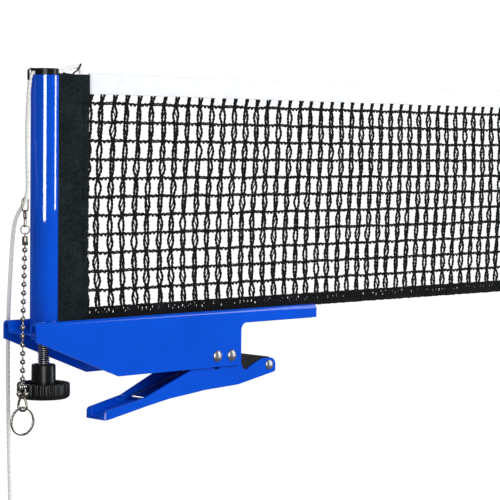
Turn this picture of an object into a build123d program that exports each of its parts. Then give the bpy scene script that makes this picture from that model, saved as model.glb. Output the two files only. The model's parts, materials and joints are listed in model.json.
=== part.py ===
from build123d import *
import os
from math import asin, cos, pi, radians, sin, tan

# Table tennis net clamp with its post and the end of its net.  Millimetres.
# Origin: on the upper jaw's face, at the wall that meets the table's edge, mid-width.
# +X points over the table, +Z up, and the playing surface is the plane Z = 0.

os.makedirs("parts", exist_ok=True)

# Driving dimensions
net_height = 152.5        # top of the net above the playing surface
overhang = 152.5          # outermost side of the post to the table's edge
tube_d = 16.2             # post tube
tube_wall = 1.5
sheet = 1.5               # clamp and lever sheet
clamp_width = 31.2
arm_length = 67.6         # upper jaw beyond the table's edge
shoulder_top = 8.9        # crest of the folded shoulders
web_top = 3.0             # floor of the trough between the shoulders
pivot = (-8.4, -19.4)     # lever pivot, X and Z
stop_pin = (-20.6, -19.2)  # rivet that stops the lever and takes the spring
jaw_pin = (26.6, -27.9)   # rivet through the rubber jaw pad
lever_half = 13.6         # lever's half width between the clamp's sides
tip_half = 9.6            # and at the handle's tip
rivet_d = 5.0
running_gap = 0.05
lever_travel = 25.0       # degrees that the handle swings up
screw_d = 7.2
knob_d = 30.8
cord_d = 2.4
tape_height = 10.6
band_height = 7.6
net_bottom = 6.9
net_thickness = 1.4
net_reach = 424.0         # post axis to the end hem
hem_width = 12.0
view_angle = 44.3         # degrees that the small rings are turned about Z

post_x = tube_d / 2 - overhang
clamp_left = post_x - 17.4
heel_x = post_x + 44.2
heel_z = -25.8
plate_edge = 0.4          # the arm's sheet edges stop this far above the rubber strip's face
inner_half = clamp_width / 2 - sheet
lever_sheet = 1.4
tube_top = 150.4
tube_bottom = -2.0
bore_r = tube_d / 2 - tube_wall
cap_height = 3.7
sleeve_x = post_x + 33.5  # where the end sleeve gives way to the mesh
hem_x = post_x + net_reach


def at_post(x, y=0.0):
    """A point given from the post's axis."""
    return (post_x + x, y)


def save(piece, name):
    piece.part.label = name
    export_step(piece.part, "parts/" + name + ".step")


# ---------------------------------------------------------------- clamp body
fold_out = (clamp_width / 2, shoulder_top)
trough_half = 9.6
section_low = heel_z - 2
outer_path = [
    (-fold_out[0], section_low), (-fold_out[0], fold_out[1]), (-trough_half, fold_out[1]),
    (-trough_half, web_top), (trough_half, web_top), (trough_half, fold_out[1]),
    (fold_out[0], fold_out[1]), (fold_out[0], section_low),
]
inner_path = [
    (-inner_half, section_low), (-inner_half, shoulder_top - sheet),
    (-trough_half - sheet, shoulder_top - sheet), (-trough_half - sheet, web_top - sheet),
    (trough_half + sheet, web_top - sheet), (trough_half + sheet, shoulder_top - sheet),
    (inner_half, shoulder_top - sheet), (inner_half, section_low),
]
fold_r, trough_r = 2.95, 1.4
slot_corner_r = 4.6

with BuildPart() as clamp_bracket:
    with BuildSketch(Plane.YZ.offset(clamp_left)):
        with BuildLine():
            FilletPolyline(*outer_path, radius=[fold_r, fold_r, trough_r, trough_r, fold_r, fold_r])
            FilletPolyline(
                *inner_path,
                radius=[fold_r - sheet, fold_r - sheet, trough_r + sheet, trough_r + sheet,
                        fold_r - sheet, fold_r - sheet],
            )
            Line(outer_path[0], inner_path[0])
            Line(outer_path[-1], inner_path[-1])
        make_face()
    extrude(amount=arm_length - clamp_left)
    with BuildSketch(Plane.XZ):
        with BuildLine():
            Polyline(
                (clamp_left, -1.8), (heel_x, heel_z), (0, heel_z), (0, plate_edge),
                (arm_length, plate_edge), (arm_length, shoulder_top + 1),
                (clamp_left, shoulder_top + 1), close=True,
            )
        make_face()
    extrude(amount=clamp_width, both=True, mode=Mode.INTERSECT)
    upright = clamp_bracket.edges().filter_by(Axis.Y)
    fillet(upright.filter_by_position(Axis.X, -0.1, 0.1).sort_by(Axis.Z)[-2:], slot_corner_r)
    fillet(clamp_bracket.edges().filter_by(Axis.Y).filter_by_position(Axis.X, -0.1, 0.1), 1.2)
    with BuildSketch(Plane.XY.offset(web_top)):
        with Locations(at_post(0)):
            Circle(tube_d / 2 + running_gap)
    extrude(amount=-sheet * 2, mode=Mode.SUBTRACT)
    with BuildSketch(Plane.XZ):
        with Locations(pivot, stop_pin):
            Circle(rivet_d / 2 + running_gap)
    extrude(amount=clamp_width, both=True, mode=Mode.SUBTRACT)

# The free arm over the table is a node of its own, so that the jaw's mouth stays open
arm_root = slot_corner_r
with BuildPart() as upper_jaw_arm:
    add(clamp_bracket.part)
    split(bisect_by=Plane.YZ.offset(arm_root), keep=Keep.TOP)
save(upper_jaw_arm, "upper_jaw_arm")
with clamp_bracket:
    split(bisect_by=Plane.YZ.offset(arm_root), keep=Keep.BOTTOM)
save(clamp_bracket, "clamp_bracket")

# Rubber strip under the upper jaw
strip_half = inner_half - 0.3
strip_start, strip_end = -8.0, arm_length - 1.3
with BuildPart() as upper_jaw_pad:
    with BuildSketch(Plane.XY):
        with Locations(((strip_start + strip_end) / 2, 0)):
            RectangleRounded(strip_end - strip_start, 2 * strip_half, 1.5)
    extrude(amount=web_top - sheet - 0.05)
save(upper_jaw_pad, "upper_jaw_pad")

# ---------------------------------------------------------------- post
slot_width = 3.2
with BuildPart() as post_tube:
    with BuildSketch(Plane.XY.offset(tube_bottom)):
        with Locations(at_post(0)):
            Circle(tube_d / 2)
            Circle(bore_r, mode=Mode.SUBTRACT)
    extrude(amount=tube_top - tube_bottom)
    with BuildSketch(Plane.XY.offset(web_top + 0.4)):
        with Locations(at_post(tube_d / 2)):
            Rectangle(tube_d, slot_width)
    extrude(amount=tube_top, mode=Mode.SUBTRACT)
save(post_tube, "post_tube")

# Cap: a plug, a flat head, a channel for the cord and a nose that keeps the cord in
nose_reach = 12.3
nose_wall = 0.7
nose_half = 0.6
channel_low = tube_top + 0.15
channel_high = tube_top + cap_height - nose_wall
with BuildPart() as post_cap:
    with BuildSketch(Plane.XY.offset(tube_top - 8)):
        with Locations(at_post(0)):
            Circle(bore_r - running_gap)
            Circle(bore_r - 1.6, mode=Mode.SUBTRACT)
    extrude(amount=8)
    with BuildSketch(Plane.XY.offset(tube_top)):
        with Locations(at_post(0)):
            Circle(tube_d / 2)
    extrude(amount=cap_height)
    fillet(post_cap.faces().sort_by(Axis.Z)[-1].edges(), 0.5)
    with BuildSketch(Plane.XZ):
        with Locations((post_x, (channel_low + channel_high) / 2)):
            Rectangle(40, channel_high - channel_low)
    extrude(amount=1.4, both=True, mode=Mode.SUBTRACT)
    with BuildSketch(Plane.XZ):
        with BuildLine():
            FilletPolyline(
                (post_x - 6, channel_high), (post_x - nose_reach + nose_wall, channel_high),
                (post_x - nose_reach + nose_wall, 147.2), (post_x - nose_reach, 147.2),
                (post_x - nose_reach, tube_top + cap_height), (post_x - 6, tube_top + cap_height),
                radius=[1.4, 0, 0, 2.2], close=False,
            )
            Line((post_x - 6, channel_high), (post_x - 6, tube_top + cap_height))
        make_face()
    extrude(amount=nose_half, both=True)
    with BuildSketch(Plane.XY.offset(tube_top - 9)):
        with Locations(at_post(bore_r)):
            Rectangle(4.4, slot_width + 0.4)
    extrude(amount=9, mode=Mode.SUBTRACT)
save(post_cap, "post_cap")

# Threaded insert pressed into the foot of the tube
nut_top = 6.5
with BuildPart() as tube_nut:
    with BuildSketch(Plane.XY.offset(tube_bottom)):
        with Locations(at_post(0)):
            Circle(bore_r - running_gap)
            Circle(screw_d / 2 + running_gap, mode=Mode.SUBTRACT)
    extrude(amount=nut_top - tube_bottom)
    chamfer(tube_nut.faces().sort_by(Axis.Z)[0].edges().sort_by(SortBy.LENGTH)[-1], 0.4)
save(tube_nut, "tube_nut")


def rivet(centre, half_grip, shaft_d, head_d, head_h):
    """A cross rivet along Y with a domed head at each end."""
    x, z = centre
    r, head_r = shaft_d / 2, head_d / 2
    with BuildPart() as body:
        with BuildSketch(Plane.XY.offset(z)):
            with BuildLine():
                Line((x, -half_grip - head_h), (x, half_grip + head_h))
                for side in (-1, 1):
                    face_y = side * half_grip
                    ThreePointArc(
                        (x, face_y + side * head_h),
                        (x + 0.62 * head_r, face_y + side * 0.72 * head_h),
                        (x + head_r, face_y),
                    )
                    Line((x + head_r, face_y), (x + r, face_y))
                Line((x + r, -half_grip), (x + r, half_grip))
            make_face()
        revolve(axis=Axis((x, 0, z), (0, 1, 0)))
    return body


clamp_grip = clamp_width / 2 + 0.02
pivot_rivet = rivet(pivot, clamp_grip, rivet_d, 7.2, 1.9)
save(pivot_rivet, "pivot_rivet")
stop_rivet = rivet(stop_pin, clamp_grip, rivet_d, 7.2, 1.9)
save(stop_rivet, "stop_rivet")

# ---------------------------------------------------------------- lever
# Side outline, from the handle's tip along the floor to the jaw and back along the top
tip_x, tip_floor, tip_top = post_x + 37.6, -52.8, -46.4
floor_line = [
    (tip_x, tip_floor), (post_x + 70.4, -46.0), (post_x + 87, -42.9),
    (post_x + 115, -39.8), (post_x + 144, -38.5), (32.4, -32.4),
]
top_line = [
    (32.4, -23.4), (20.4, -23.5), (10.4, -27.6), (6.4, -29.8), (3.4, -28.6), (1.6, -24.2),
    (-3.2, -12.6), (-26.0, -12.6), (-42.0, -27.4), (post_x + 68, -41.1), (tip_x + 2.2, tip_top),
]
arm_start_x = post_x + 105
stop_radius = pivot[0] - stop_pin[0]
slot_play = 0.4
notch_d = rivet_d + 2 * slot_play


def lever_plan(half_wide, half_tip, tip):
    """Plan outline: parallel by the pivot, tapering to the handle's rounded tip."""
    front = 40.0
    with BuildLine() as outline:
        FilletPolyline(
            (front, -half_wide), (arm_start_x, -half_wide), (tip, -half_tip),
            (tip, half_tip), (arm_start_x, half_wide), (front, half_wide),
            radius=[60, 5.5, 5.5, 60],
        )
        Line((front, half_wide), (front, -half_wide))
    return outline


with BuildPart() as clamp_lever:
    with BuildSketch(Plane.XZ):
        with BuildLine():
            Polyline(*floor_line, *top_line, close=True)
        make_face()
    extrude(amount=lever_half, both=True)
    tip_edges = clamp_lever.edges().filter_by(Axis.Y)
    fillet(tip_edges.filter_by_position(Axis.X, tip_x + 2.1, tip_x + 2.3), 3.4)
    tip_edges = clamp_lever.edges().filter_by(Axis.Y)
    fillet(tip_edges.filter_by_position(Axis.X, tip_x - 0.1, tip_x + 0.1), 1.2)
    with BuildSketch(Plane.XY.offset(-60)):
        with BuildLine():
            add(lever_plan(lever_half, tip_half, tip_x))
        make_face()
    extrude(amount=60, mode=Mode.INTERSECT)
    across = clamp_lever.edges().filter_by(Axis.Y)
    fillet(across.filter_by_position(Axis.X, 32.3, 32.5).sort_by(Axis.Z)[-1], 4.6)
    fillet(clamp_lever.edges().filter_by(Axis.Y).filter_by_position(Axis.X, 32.3, 32.5), 1.6)
    fillet(clamp_lever.edges().filter_by(Axis.Y).filter_by_position(Axis.X, 3.3, 6.5), 1.6)
    fillet(clamp_lever.edges().filter_by(Axis.Y).filter_by_position(Axis.X, -26.1, -3.1), 4.0)
# Hollow of the channel, open at the top
with BuildPart() as hollow:
    with BuildSketch(Plane.XZ):
        with BuildLine():
            Polyline(
                *[(x, z + lever_sheet) for x, z in floor_line[:-1]],
                (40, floor_line[-1][1] + 1.2 * lever_sheet - 1.6), (40, 0), (tip_x, 0), close=True,
            )
        make_face()
    extrude(amount=lever_half - lever_sheet, both=True)
    with BuildSketch(Plane.XY.offset(-60)):
        with BuildLine():
            add(lever_plan(lever_half - lever_sheet, tip_half - lever_sheet, tip_x + lever_sheet))
        make_face()
    extrude(amount=60, mode=Mode.INTERSECT)
# The handle's end wall is cut away between its two rounded corners
with BuildPart() as tip_notch:
    with BuildSketch(Plane.YZ.offset(tip_x - 1)):
        with BuildLine():
            FilletPolyline(
                (-tip_half + 1.0, tip_top + 2), (-tip_half + 5.2, tip_floor + lever_sheet),
                (tip_half - 5.2, tip_floor + lever_sheet), (tip_half - 1.0, tip_top + 2), radius=1.6,
            )
            Line((tip_half - 1.0, tip_top + 2), (-tip_half + 1.0, tip_top + 2))
        make_face()
    extrude(amount=3.6)
with clamp_lever:
    add(hollow, mode=Mode.SUBTRACT)
    add(tip_notch, mode=Mode.SUBTRACT)
    with BuildSketch(Plane.XZ):
        with Locations(pivot, jaw_pin):
            Circle(rivet_d / 2 + running_gap)
        with BuildLine() as sweep_line:
            CenterArc(pivot, stop_radius, 177.5, lever_travel + 3.5)
        SlotArc(sweep_line.wire(), notch_d)
    extrude(amount=clamp_width, both=True, mode=Mode.SUBTRACT)
save(clamp_lever, "clamp_lever")

jaw_rivet = rivet(jaw_pin, lever_half + 0.02, rivet_d, 6.4, 1.5)
save(jaw_rivet, "jaw_rivet")

# Distance sleeve on the pivot rivet and the two washers between lever and clamp
inside_half = lever_half - lever_sheet
sleeve_r = 4.0
with BuildPart() as pivot_sleeve:
    with BuildSketch(Plane.XZ):
        with Locations(pivot):
            Circle(sleeve_r)
            Circle(rivet_d / 2 + running_gap, mode=Mode.SUBTRACT)
    extrude(amount=inside_half - 0.05, both=True)
save(pivot_sleeve, "pivot_sleeve")

washer_gap = 0.1
with BuildPart() as pivot_washers:
    for side in (-1, 1):
        with BuildSketch(Plane.XZ.offset(side * (lever_half + inner_half) / 2)):
            with Locations(pivot):
                Circle(4.6)
                Circle(rivet_d / 2 + running_gap, mode=Mode.SUBTRACT)
        extrude(amount=(inner_half - lever_half) / 2 - washer_gap, both=True)
save(pivot_washers, "pivot_washers")

# Rubber jaw pad between the lever's sides, held by the jaw rivet
pad_half = inside_half - 0.1
with BuildPart() as jaw_pad:
    with BuildSketch(Plane.XZ):
        with BuildLine():
            FilletPolyline(
                (2.6, -31.0), (30.6, -31.0), (30.6, -22.9), (17.0, -22.4), (2.6, -24.0),
                radius=[1.5, 1.5, 4.0, 12.0, 1.5], close=True,
            )
        make_face()
        with Locations(jaw_pin):
            Circle(rivet_d / 2 + running_gap, mode=Mode.SUBTRACT)
    extrude(amount=pad_half, both=True)
save(jaw_pad, "jaw_pad")

# ---------------------------------------------------------------- return spring
# One wire: free leg under the stop rivet, coil, long leg, crossbar, and the same mirrored
wire_d = 1.8
coil_r = sleeve_r + 0.35 + wire_d / 2
coil_inner_y, coil_outer_y = 3.4, 10.2
bail_x, bail_z, bail_half = post_x + 74.5, -42.6, 9.0
# The free leg leaves the coil's top and passes under the stop rivet
leg_slope = asin((coil_r + rivet_d / 2 + wire_d / 2 + 0.15) / (pivot[0] - stop_pin[0]))
leg_root = (pivot[0] - coil_r * sin(leg_slope), pivot[1] + coil_r * cos(leg_slope))
leg_tip = (leg_root[0] - 11.6 * cos(leg_slope), leg_root[1] - 11.6 * sin(leg_slope))
coil_half_wall = wire_d / 2 + 0.1
inset = 0.2               # keeps the wire's ends inside the coil's ends


def wire(points, bend):
    """A round wire along straight runs joined by arcs."""
    with BuildPart() as rod:
        with BuildLine() as route:
            FilletPolyline(*points, radius=bend)
        with BuildSketch(route.wire() ^ 0):
            Circle(wire_d / 2)
        sweep()
    return rod


with BuildPart() as torsion_spring:
    for side in (-1, 1):
        middle = side * (coil_inner_y + coil_outer_y) / 2
        with BuildSketch(Plane.XZ.offset(-middle)):
            with Locations(pivot):
                Circle(coil_r + coil_half_wall)
                Circle(coil_r - coil_half_wall, mode=Mode.SUBTRACT)
        extrude(amount=(coil_outer_y - coil_inner_y) / 2, both=True)
    foot_x, foot_z = pivot[0] - 1.4, pivot[1] - coil_r + 0.25
    foot_y = coil_outer_y - wire_d / 2 - inset
    add(wire(
        [(foot_x, -foot_y, foot_z), (bail_x, -bail_half, bail_z),
         (bail_x, bail_half, bail_z), (foot_x, foot_y, foot_z)], 2.2).part)
    for side in (-1, 1):
        leg_y = side * (coil_inner_y + wire_d / 2 + inset)
        start = Vector(leg_tip[0], leg_y, leg_tip[1])
        leg = Vector(leg_root[0], leg_y, leg_root[1]) - start
        with BuildSketch(Plane(start, z_dir=leg)):
            Circle(wire_d / 2)
        extrude(amount=leg.length)
save(torsion_spring, "torsion_spring")

# ---------------------------------------------------------------- height screw
screw_top = 17.6
hub_top, wheel_top, wheel_low = -16.6, -27.3, -36.4
hub_r = 7.1
screw_low, tip_low = wheel_low + 1.5, 10.5
socket_d = 5.0
with BuildPart() as adjust_screw:
    with BuildSketch(Plane.XY.offset(screw_low)):
        with Locations(at_post(0)):
            Circle(screw_d / 2)
    extrude(amount=tip_low - screw_low)
    with BuildSketch(Plane.XY.offset(tip_low)):
        with Locations(at_post(0)):
            Circle(socket_d / 2)
    extrude(amount=screw_top - tip_low)
    chamfer(adjust_screw.faces().sort_by(Axis.Z)[-1].edges(), 0.5)
    chamfer(adjust_screw.faces().sort_by(Axis.Z)[0].edges(), 0.5)
save(adjust_screw, "adjust_screw")

rib_count = 28
insert_r = 5.2
with BuildPart() as height_knob:
    with BuildSketch(Plane.XY.offset(wheel_low)):
        with Locations(at_post(0)):
            Circle(knob_d / 2)
            with PolarLocations(knob_d / 2 + 0.5, rib_count):
                Circle(1.2, mode=Mode.SUBTRACT)
    extrude(amount=wheel_top - wheel_low)
    with BuildSketch(Plane.XY.offset(wheel_top)):
        with Locations(at_post(0)):
            Circle(knob_d / 2 - 2.6)
    extrude(amount=-4.0, mode=Mode.SUBTRACT)
    with BuildSketch(Plane.XY.offset(wheel_low + 1)):
        with Locations(at_post(0)):
            Circle(hub_r)
    extrude(amount=hub_top - wheel_low - 1)
    chamfer(height_knob.faces().sort_by(Axis.Z)[-1].edges(), 0.5)
    with BuildSketch(Plane.XY.offset(wheel_low + 1)):
        with Locations(at_post(0)):
            Circle(insert_r)
    extrude(amount=hub_top - wheel_low, mode=Mode.SUBTRACT)
save(height_knob, "height_knob")

with BuildPart() as knob_insert:
    with BuildSketch(Plane.XY.offset(wheel_low + 1.2)):
        with Locations(at_post(0)):
            Circle(insert_r)
            Circle(screw_d / 2, mode=Mode.SUBTRACT)
    extrude(amount=hub_top - wheel_low - 1.8)
save(knob_insert, "knob_insert")

# ---------------------------------------------------------------- net carrier
rod_r = 4.0
rod_low, rod_top = 20.0, 138.0
with BuildPart() as net_rod:
    with BuildSketch(Plane.XY.offset(rod_low)):
        with Locations(at_post(0)):
            Circle(rod_r)
    extrude(amount=rod_top - rod_low)
    chamfer(net_rod.faces().sort_by(Axis.Z)[-1].edges(), 0.6)
save(net_rod, "net_rod")

# Plastic socket on the rod's foot that the screw's tip turns in
socket_low, socket_top = tip_low + 0.2, rod_low + 5.0
with BuildPart() as lift_socket:
    with BuildSketch(Plane.XY.offset(socket_low)):
        with Locations(at_post(0)):
            Circle(bore_r - 1.0)
    extrude(amount=socket_top - socket_low)
    with BuildSketch(Plane.XY.offset(socket_low)):
        with Locations(at_post(0)):
            Circle(socket_d / 2 + running_gap)
    extrude(amount=screw_top + 0.2 - socket_low, mode=Mode.SUBTRACT)
    with BuildSketch(Plane.XY.offset(rod_low)):
        with Locations(at_post(0)):
            Circle(rod_r)
    extrude(amount=6, mode=Mode.SUBTRACT)
save(lift_socket, "lift_socket")

# Woven end sleeve: a pocket round the rod and the panel that leaves the tube's slot
pocket_r = rod_r + 1.0
pocket_low, pocket_top = 26.5, 134.0
sleeve_top = net_height - 1.0
panel_x = post_x + tube_d / 2 + 0.4
corner_cut = 9.0          # the panel's top corner is cut back below the cord
with BuildPart() as net_sleeve:
    with BuildSketch(Plane.XY.offset(pocket_low)):
        with Locations(at_post(0)):
            Circle(pocket_r)
            Circle(rod_r + 0.05, mode=Mode.SUBTRACT)
        with Locations(((post_x + pocket_r + panel_x) / 2, 0)):
            Rectangle(panel_x - post_x - pocket_r + 0.6, net_thickness)
    extrude(amount=pocket_top - pocket_low)
    with BuildSketch(Plane.XZ):
        with BuildLine():
            Polyline(
                (panel_x, net_bottom), (sleeve_x, net_bottom), (sleeve_x, sleeve_top),
                (panel_x + corner_cut, sleeve_top), (panel_x, sleeve_top - 1.8), close=True,
            )
        make_face()
    extrude(amount=net_thickness / 2 + 0.2, both=True)
save(net_sleeve, "net_sleeve")


def net_panel(x_low, x_high, z_low, z_high, thick):
    """A flat upright strip of the net."""
    with BuildPart() as panel:
        with BuildSketch(Plane.XY.offset(z_low)):
            with Locations(((x_low + x_high) / 2, 0)):
                Rectangle(x_high - x_low, thick)
        extrude(amount=z_high - z_low)
    return panel


tape_low = net_height - tape_height
band_top = net_bottom + band_height
seam = 0.05
net_tape = net_panel(sleeve_x + seam, hem_x - seam, tape_low, net_height, 2.4)
save(net_tape, "net_tape")
net_mesh = net_panel(sleeve_x + seam, hem_x - seam, band_top + seam, tape_low - seam, net_thickness)
save(net_mesh, "net_mesh")
net_bottom_band = net_panel(sleeve_x + seam, hem_x - seam, net_bottom, band_top, 2.0)
save(net_bottom_band, "net_bottom_band")

end_rod_r = 1.6
with BuildPart() as net_end_hem:
    with BuildSketch(Plane.XY.offset(net_bottom)):
        with Locations((hem_x + hem_width / 2, 0)):
            RectangleRounded(hem_width, 4.4, 1.6)
            Circle(end_rod_r + 0.05, mode=Mode.SUBTRACT)
    extrude(amount=net_height - net_bottom)
save(net_end_hem, "net_end_hem")

with BuildPart() as net_end_rod:
    with BuildSketch(Plane.XY.offset(net_bottom + 1)):
        with Locations((hem_x + hem_width / 2, 0)):
            Circle(end_rod_r)
    extrude(amount=net_height - net_bottom - 2)
save(net_end_rod, "net_end_rod")

# ---------------------------------------------------------------- tensioning cord
# From the net's top, through the cap, down to the chain's hook, and on as a loose tail
cord_route = [
    (post_x + 26.4, 0.0, 152.1), (post_x + 25.8, 0.0, 156.2), (post_x + 19.6, 0.2, 155.6),
    (post_x + 11.0, 0.0, 152.0), (post_x + 0.6, 0.0, 151.9), (post_x - 9.9, 0.0, 152.0),
    (post_x - 10.1, 0.2, 145.4), (post_x - 10.7, 0.2, 133.0), (post_x - 11.7, 0.1, 115.0),
    (post_x - 12.6, -0.6, 97.0), (post_x - 13.5, -2.2, 84.0), (post_x - 14.2, 0.6, 76.4),
    (post_x - 14.6, 6.2, 70.6), (post_x - 14.2, 10.2, 63.0), (post_x - 13.9, 12.2, 52.0),
    (post_x - 13.6, 13.9, 37.0), (post_x - 13.0, 16.2, 20.0), (post_x - 12.4, 17.7, 2.0),
    (post_x - 12.3, 17.9, -20.0), (post_x - 12.5, 17.0, -46.0), (post_x - 12.3, 16.3, -72.0),
    (post_x - 12.0, 15.4, -98.0), (post_x - 12.1, 15.3, -112.0),
]


def arc_radii(points):
    """The largest tangent arc that each corner's two runs leave room for."""
    found = []
    for before, corner, after in zip(points, points[1:], points[2:]):
        first, second = Vector(*corner) - Vector(*before), Vector(*after) - Vector(*corner)
        half_turn = radians(first.get_angle(second)) / 2
        found.append(0.45 * min(first.length, second.length) / tan(half_turn))
    return found


cord_radii = arc_radii(cord_route)
with BuildPart() as tension_cord:
    with BuildLine() as cord_line:
        FilletPolyline(*cord_route, radius=cord_radii)
    with BuildSketch(Plane(cord_route[0], z_dir=Vector(*cord_route[1]) - Vector(*cord_route[0]))):
        Circle(cord_d / 2)
    sweep(path=cord_line.wire())
save(tension_cord, "tension_cord")
cord_length = cord_line.wire().length
print("cord length", round(cord_length, 1), "volume", round(tension_cord.part.volume, 1),
      "section x length", round(pi * cord_d ** 2 / 4 * cord_length, 1))
print("cord radii", [round(r, 1) for r in cord_radii])

cord_end = cord_route[-1]
with BuildPart() as cord_knot:
    with BuildSketch(Plane.XZ.offset(-cord_end[1])):
        with BuildLine():
            Polyline((cord_end[0], cord_end[2]), (cord_end[0] + 1.2, cord_end[2]),
                     (cord_end[0] + 2.6, cord_end[2] - 1.6), (cord_end[0] + 2.6, cord_end[2] - 3.6),
                     (cord_end[0] + 1.2, cord_end[2] - 5.2), (cord_end[0], cord_end[2] - 5.2),
                     close=True)
        make_face()
    revolve(axis=Axis((cord_end[0], cord_end[1], cord_end[2]), (0, 0, 1)))
save(cord_knot, "cord_knot")

# ---------------------------------------------------------------- hook, rings and ball chain
across_dir = Vector(cos(radians(view_angle)), -sin(radians(view_angle)), 0)
along_dir = Vector(sin(radians(view_angle)), cos(radians(view_angle)), 0)


def hang_point(z):
    """The chain's centre line: plumb below the hook, then leaning out past the clamp's end."""
    lean = min(max(56.0 - z, 0.0), 50.0) / 50
    return Vector(post_x - 14.1 - 5.4 * lean, -0.3 - 5.2 * lean, z)


def link(centre, wide_dir, half_wide, half_high, wire_r):
    """A closed oval of round wire, upright in the plane of wide_dir and Z."""
    straight = half_high - half_wide
    with BuildPart() as oval:
        with BuildLine(Plane(centre, x_dir=wide_dir, z_dir=wide_dir.cross(Vector(0, 0, 1)))):
            right = Line((half_wide, -straight), (half_wide, straight))
            ThreePointArc(right @ 1, (0, half_high), (-half_wide, straight))
            Line((-half_wide, straight), (-half_wide, -straight))
            ThreePointArc((-half_wide, -straight), (0, -half_high), right @ 0)
        with BuildSketch(Plane(oval.pending_edges[0] @ 0.5, z_dir=(0, 0, 1))):
            Circle(wire_r)
        sweep(path=Wire(oval.pending_edges))
    return oval


hook_r, hook_half, hook_wide = 0.5, 4.0, 2.1
hook_centre = hang_point(75.9)
cord_hook = link(hook_centre, Vector(1, 0, 0), hook_wide, hook_half, hook_r)
save(cord_hook, "cord_hook")
hook_wire = hook_centre - Vector(0, 0, hook_half)

# Swivel: a strip eye on the hook's foot and, a part turn round, one for the jump ring
eye_strip, eye_wide, eye_half_high, eye_half_width = 0.4, 2.3, 2.6, 0.7
upper_eye = hook_wire - Vector(0, 0, eye_half_high - eye_strip - hook_r - 0.25)
lower_eye = upper_eye - Vector(0, 0, 2 * eye_half_high - eye_strip)
with BuildPart() as swivel_link:
    for eye_centre, facing in ((upper_eye, Vector(1, 0, 0)), (lower_eye, across_dir)):
        sideways = Vector(0, 0, 1).cross(facing)
        with BuildSketch(Plane(eye_centre, x_dir=sideways, z_dir=facing)):
            SlotOverall(2 * eye_half_high, eye_wide, rotation=90)
            SlotOverall(2 * (eye_half_high - eye_strip), eye_wide - 2 * eye_strip, rotation=90,
                        mode=Mode.SUBTRACT)
        extrude(amount=eye_half_width, both=True)
save(swivel_link, "swivel_link")

# Jump ring through the foot of the swivel
ring_wire_r, ring_mean_r = 0.4, 2.5
ring_top_z = lower_eye.Z - eye_half_high + eye_strip + ring_wire_r + 0.25
ring_centre = hang_point(ring_top_z - ring_mean_r)
ring_centre = Vector(lower_eye.X, lower_eye.Y, ring_centre.Z)
jump_ring = link(ring_centre, across_dir, ring_mean_r - 0.01, ring_mean_r, ring_wire_r)
save(jump_ring, "jump_ring")

ball_r, ball_pitch = 1.6, 4.9
neck_r = 0.45
first_ball_z = 50.1
upper_count, lower_count = 10, 6
ring_foot = ring_centre - Vector(0, 0, ring_mean_r)
loop_in, loop_out = 0.7, 1.2
loop_centre = ring_foot - Vector(0, 0, loop_in - ring_wire_r - 0.1)
cup_top, cup_low = loop_centre.Z - loop_out + 0.3, first_ball_z + ball_r + 1.0
with BuildPart() as chain_connector:
    with BuildSketch(Plane.XY.offset(cup_low)):
        with Locations((ring_foot.X, ring_foot.Y)):
            Circle(1.75)
    extrude(amount=cup_top - cup_low)
    with BuildSketch(Plane(loop_centre, x_dir=along_dir, z_dir=across_dir)):
        Circle(loop_out)
        Circle(loop_in, mode=Mode.SUBTRACT)
    extrude(amount=0.35, both=True)
save(chain_connector, "chain_connector")


def ball_run(centres, first_link=None):
    """Hollow-looking balls in a row, each pair tied by a short wire."""
    with BuildPart() as run:
        for centre in centres:
            with Locations(centre):
                Sphere(ball_r)
        ties = list(zip(centres, centres[1:]))
        if first_link:
            ties.append((first_link, centres[0]))
        for start, end in ties:
            step = (end - start).normalized()
            with BuildSketch(Plane(start, z_dir=step)):
                Circle(neck_r)
            extrude(amount=(end - start).length)
    return run


upper_balls = [hang_point(first_ball_z - ball_pitch * n) for n in range(upper_count)]
chain_upper = ball_run(upper_balls, Vector(ring_foot.X, ring_foot.Y, cup_low - 0.2))
save(chain_upper, "chain_upper")

# Lower stretch: single balls, then the end doubled back on itself into the clasp
joint_ball = upper_balls[-1]
lower_balls = [joint_ball - Vector(0, 0, ball_pitch * (n + 1)) for n in range(lower_count)]
knuckle = joint_ball - Vector(0, 0, ball_r + 0.35)
chain_lower = ball_run(lower_balls, knuckle)
save(chain_lower, "chain_lower")

fold_half = 1.75
last_ball = lower_balls[-1]
with BuildPart() as chain_fold:
    for side in (-1, 1):
        for n in range(2):
            with Locations(last_ball + across_dir * side * fold_half - Vector(0, 0, 4.6 + 4.0 * n)):
                Sphere(ball_r)
save(chain_fold, "chain_fold")

clasp_half, clasp_r = 4.1, 0.45
clasp_turn = 69.0
clasp_dir = Vector(cos(radians(clasp_turn)), -sin(radians(clasp_turn)), 0)
clasp_centre = last_ball - Vector(0, 0, 10.3 + clasp_half)
chain_clasp = link(clasp_centre, clasp_dir, 2.65, clasp_half - clasp_r, clasp_r)
save(chain_clasp, "chain_clasp")
clasp_foot = clasp_centre - Vector(0, 0, clasp_half - clasp_r)

# Split key ring
key_mean_r, key_wire_r = 7.5, 0.6
key_turn = 10.0
key_dir = Vector(cos(radians(key_turn)), -sin(radians(key_turn)), 0)
key_centre = clasp_foot - Vector(0, 0, key_mean_r - clasp_r - key_wire_r - 0.3)
with BuildPart() as key_ring:
    with BuildSketch(Plane(key_centre, x_dir=key_dir, z_dir=key_dir.cross(Vector(0, 0, 1)))):
        Circle(key_mean_r + key_wire_r)
        Circle(key_mean_r - key_wire_r, mode=Mode.SUBTRACT)
    extrude(amount=key_wire_r, both=True)
    fillet(key_ring.edges(), 0.3)
save(key_ring, "key_ring")

print("post_x", post_x)
for name, point in (("chain hinge", hook_wire), ("lower hinge", joint_ball), ("ring hinge", clasp_foot),
                    ("key centre", key_centre)):
    print(name, [round(v, 3) for v in tuple(point)])
print("clasp direction", [round(v, 5) for v in tuple(clasp_dir)])
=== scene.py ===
import json
import math
import random

import bmesh
import bpy
import numpy as np
from mathutils import Matrix, Vector


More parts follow.
